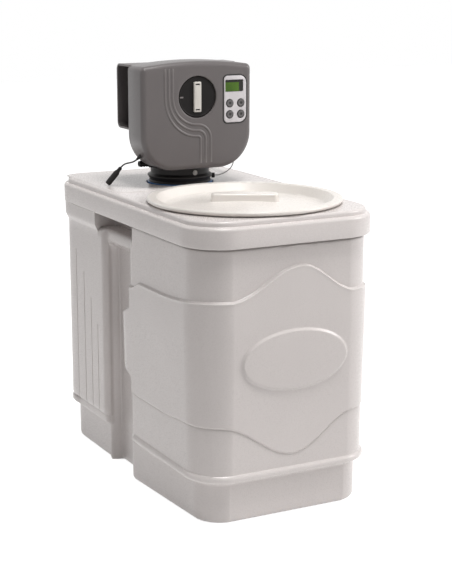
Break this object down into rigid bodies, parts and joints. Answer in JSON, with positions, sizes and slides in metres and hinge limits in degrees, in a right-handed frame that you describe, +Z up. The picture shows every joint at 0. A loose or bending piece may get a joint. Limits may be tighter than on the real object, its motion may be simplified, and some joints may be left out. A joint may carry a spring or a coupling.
{
  "type": "cabinet water softener",
  "caption": "Compact cabinet water softener: moulded salt cabinet with cover and lift-off lid, resin vessel, brine well and a motor-driven camshaft control valve under a grey hood.",
  "frame": {"origin": "on the floor under the plan centre of the cabinet's cover band", "axes": "+Z up, +X to the right seen from the front, front faces -Y"},
  "size_m": [0.304, 0.569, 0.64],
  "materials": {
    "cabinet": "moulded polyethylene, satin",
    "cover": "moulded polyethylene, satin",
    "lid": "ivory plastic, soft gloss",
    "vessel": "blue wound vessel",
    "resin": "amber beads",
    "white_plastic": "natural plastic",
    "black_plastic": "glass-filled plastic",
    "rubber": "matt",
    "steel": "plated",
    "brass": "machined",
    "knob": "satin",
    "knob_bar": "light grey, satin",
    "hood": "fine moulded texture, satin",
    "panel": "silver foil, satin",
    "display": "green display glass",
    "window": "clear",
    "board": "lacquered board",
    "key": "soft matt",
    "grey_cable": "smooth sheath",
    "black_cable": "smooth sheath"
  },
  "bodies": {
    "cabinet": {"cabinet_body": "cabinet", "cabinet_cover": "cover", "neck_ring": "rubber", "resin_vessel": "vessel", "vessel_foot": "black_plastic", "resin_bed": "resin", "riser_tube": "white_plastic", "bottom_strainer": "black_plastic", "top_strainer": "black_plastic", "tank_adapter": "black_plastic", "adapter_o_ring": "rubber", "adapter_screw": "steel", "flow_sensor": "black_plastic", "brine_well": "white_plastic", "brine_well_cap": "black_plastic", "brine_valve": "black_plastic", "pickup_screen": "white_plastic", "float_rod": "white_plastic", "brine_tube": "white_plastic", "overflow_fitting": "white_plastic", "overflow_nut": "white_plastic", "valve_body": "black_plastic", "valve_top_plate": "black_plastic", "flapper_pin": "steel", "motor_plate": "black_plastic", "drive_motor": "steel", "front_hood": "hood", "rear_hood": "hood", "hood_screws": "steel", "control_panel": "panel", "display_module": "display", "display_window": "window", "control_board": "board", "injector_cap": "black_plastic", "drain_fitting": "black_plastic", "brine_fitting": "black_plastic", "meter_grommet": "rubber", "meter_cable": "grey_cable", "lead_gland": "rubber", "power_lead": "black_cable", "lead_connector": "black_plastic"},
    "lid": {"salt_lid": "lid"},
    "float": {"brine_float": "white_plastic"},
    "turbine": {"flow_turbine": "white_plastic"},
    "cam": {"camshaft": "white_plastic", "camshaft_gear": "white_plastic", "position_knob": "knob", "knob_bar": "knob_bar"},
    "pinion": {"motor_pinion": "brass"},
    "flapper_a": {"flapper_1": "white_plastic"},
    "flapper_b": {"flapper_2": "white_plastic"},
    "flapper_c": {"flapper_3": "white_plastic"},
    "flapper_d": {"flapper_4": "white_plastic"},
    "flapper_e": {"flapper_5": "white_plastic"},
    "key_a": {"key_1": "key"},
    "key_b": {"key_2": "key"},
    "key_c": {"key_3": "key"},
    "key_d": {"key_4": "key"}
  },
  "joints": [
    {"name": "lid_lift", "type": "slide", "parent": "cabinet", "child": "lid", "axis": [0, 0, 1], "range_m": [0, 0.12]},
    {"name": "float_rise", "type": "slide", "parent": "cabinet", "child": "float", "axis": [0, 0, 1], "range_m": [0, 0.15]},
    {"name": "turbine_spin", "type": "hinge", "parent": "cabinet", "child": "turbine", "pos_m": [0, 0.1, 0.465], "axis": [0, 0, 1], "continuous": true},
    {"name": "cam_turn", "type": "hinge", "parent": "cabinet", "child": "cam", "pos_m": [0, 0.06, 0.585], "axis": [0, 1, 0], "continuous": true},
    {"name": "pinion_spin", "type": "hinge", "parent": "cabinet", "child": "pinion", "pos_m": [-0.03765, 0.06, 0.585], "axis": [0, 1, 0], "continuous": true},
    {"name": "flapper_1_tilt", "type": "hinge", "parent": "cabinet", "child": "flapper_a", "pos_m": [0.014, 0.071, 0.5415], "axis": [0, 1, 0], "range_deg": [0, 8], "stiffness_Nm_per_rad": 0.05, "springref_deg": -5.73},
    {"name": "flapper_2_tilt", "type": "hinge", "parent": "cabinet", "child": "flapper_b", "pos_m": [0.014, 0.0806, 0.5415], "axis": [0, 1, 0], "range_deg": [0, 8], "stiffness_Nm_per_rad": 0.05, "springref_deg": -5.73},
    {"name": "flapper_3_tilt", "type": "hinge", "parent": "cabinet", "child": "flapper_c", "pos_m": [0.014, 0.0902, 0.5415], "axis": [0, 1, 0], "range_deg": [0, 8], "stiffness_Nm_per_rad": 0.05, "springref_deg": -5.73},
    {"name": "flapper_4_tilt", "type": "hinge", "parent": "cabinet", "child": "flapper_d", "pos_m": [0.014, 0.0998, 0.5415], "axis": [0, 1, 0], "range_deg": [0, 8], "stiffness_Nm_per_rad": 0.05, "springref_deg": -5.73},
    {"name": "flapper_5_tilt", "type": "hinge", "parent": "cabinet", "child": "flapper_e", "pos_m": [0.014, 0.1094, 0.5415], "axis": [0, 1, 0], "range_deg": [0, 8], "stiffness_Nm_per_rad": 0.05, "springref_deg": -5.73},
    {"name": "key_1_press", "type": "slide", "parent": "cabinet", "child": "key_a", "axis": [0, 1, 0], "range_m": [0, 0.0012], "stiffness_N_per_m": 300, "springref_m": -0.0005},
    {"name": "key_2_press", "type": "slide", "parent": "cabinet", "child": "key_b", "axis": [0, 1, 0], "range_m": [0, 0.0012], "stiffness_N_per_m": 300, "springref_m": -0.0005},
    {"name": "key_3_press", "type": "slide", "parent": "cabinet", "child": "key_c", "axis": [0, 1, 0], "range_m": [0, 0.0012], "stiffness_N_per_m": 300, "springref_m": -0.0005},
    {"name": "key_4_press", "type": "slide", "parent": "cabinet", "child": "key_d", "axis": [0, 1, 0], "range_m": [0, 0.0012], "stiffness_N_per_m": 300, "springref_m": -0.0005}
  ],
  "couplings": [
    {"joint": "pinion_spin", "follows": "cam_turn", "ratio": -4}
  ]
}
